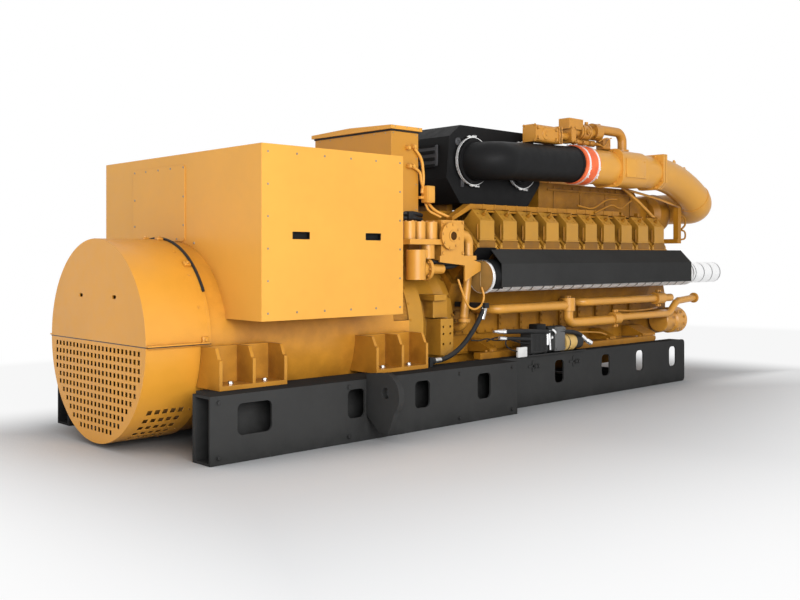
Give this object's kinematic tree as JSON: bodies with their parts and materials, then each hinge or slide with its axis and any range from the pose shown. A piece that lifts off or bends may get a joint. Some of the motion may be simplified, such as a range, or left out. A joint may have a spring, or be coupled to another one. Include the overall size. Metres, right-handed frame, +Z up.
{
  "type": "gas generator set",
  "caption": "Gas generator set: a long vee engine with exhaust shields and overhead air intake, coupled to a drum-ended alternator with a terminal box, on a steel base frame.",
  "frame": {"origin": "centre of the bounding box's bottom face, on the floor under the set", "axes": "+X along the set from the alternator to the engine's free end, +Y across it, +Z up"},
  "size_m": [5.845, 2.42, 2.183],
  "materials": {
    "yellow_paint": "satin warm yellow enamel",
    "engine_paint": "satin yellow enamel over cast iron",
    "black_paint": "satin black enamel",
    "black_plastic": "moulded black, soft sheen",
    "black_rubber": "plain black hose rubber, satin",
    "silicone_hose": "orange silicone, satin",
    "foil_wrap": "crinkled foil insulation wrap",
    "bright_steel": "bright stainless steel"
  },
  "bodies": {
    "root": {"main_rail_near": "black_paint", "main_rail_far": "black_paint", "outer_beam_near": "black_paint", "outer_beam_far": "black_paint", "cross_members": "black_paint", "lifting_eyes": "black_paint", "end_shroud": "yellow_paint", "lower_shroud": "yellow_paint", "vent_screen": "yellow_paint", "alternator_barrel": "yellow_paint", "alternator_feet": "yellow_paint", "terminal_box": "yellow_paint", "box_side_panels": "yellow_paint", "box_access_panel": "yellow_paint", "control_cabinet": "yellow_paint", "cabinet_lid": "yellow_paint", "cabinet_stand": "engine_paint", "flywheel_housing": "engine_paint", "crankcase": "engine_paint", "oil_pan": "engine_paint", "engine_rails": "engine_paint", "crankcase_doors": "engine_paint", "cylinder_heads_near": "engine_paint", "cylinder_heads_far": "engine_paint", "rocker_covers_near": "yellow_paint", "rocker_covers_far": "yellow_paint", "exhaust_manifold_near": "foil_wrap", "exhaust_manifold_far": "foil_wrap", "heat_shield_near": "black_paint", "heat_shield_far": "black_paint", "exhaust_bellows": "bright_steel", "charge_plenum": "engine_paint", "charge_cooler": "engine_paint", "air_cleaner": "black_plastic", "air_cleaner_stand": "engine_paint", "intake_ducts": "black_plastic", "duct_couplings": "silicone_hose", "intake_pipes": "yellow_paint", "intake_elbows": "yellow_paint", "crossover_pipe": "yellow_paint", "pipe_clamps": "bright_steel", "turbocharger": "engine_paint", "gas_trains": "yellow_paint", "front_case": "engine_paint", "coolant_pumps": "yellow_paint", "coolant_pipes": "yellow_paint", "wiring_ducts": "engine_paint", "thermostat_housing": "yellow_paint", "rear_water_pipe": "yellow_paint", "prelube_unit": "black_paint", "drain_hose": "black_rubber"}
  },
  "joints": []
}
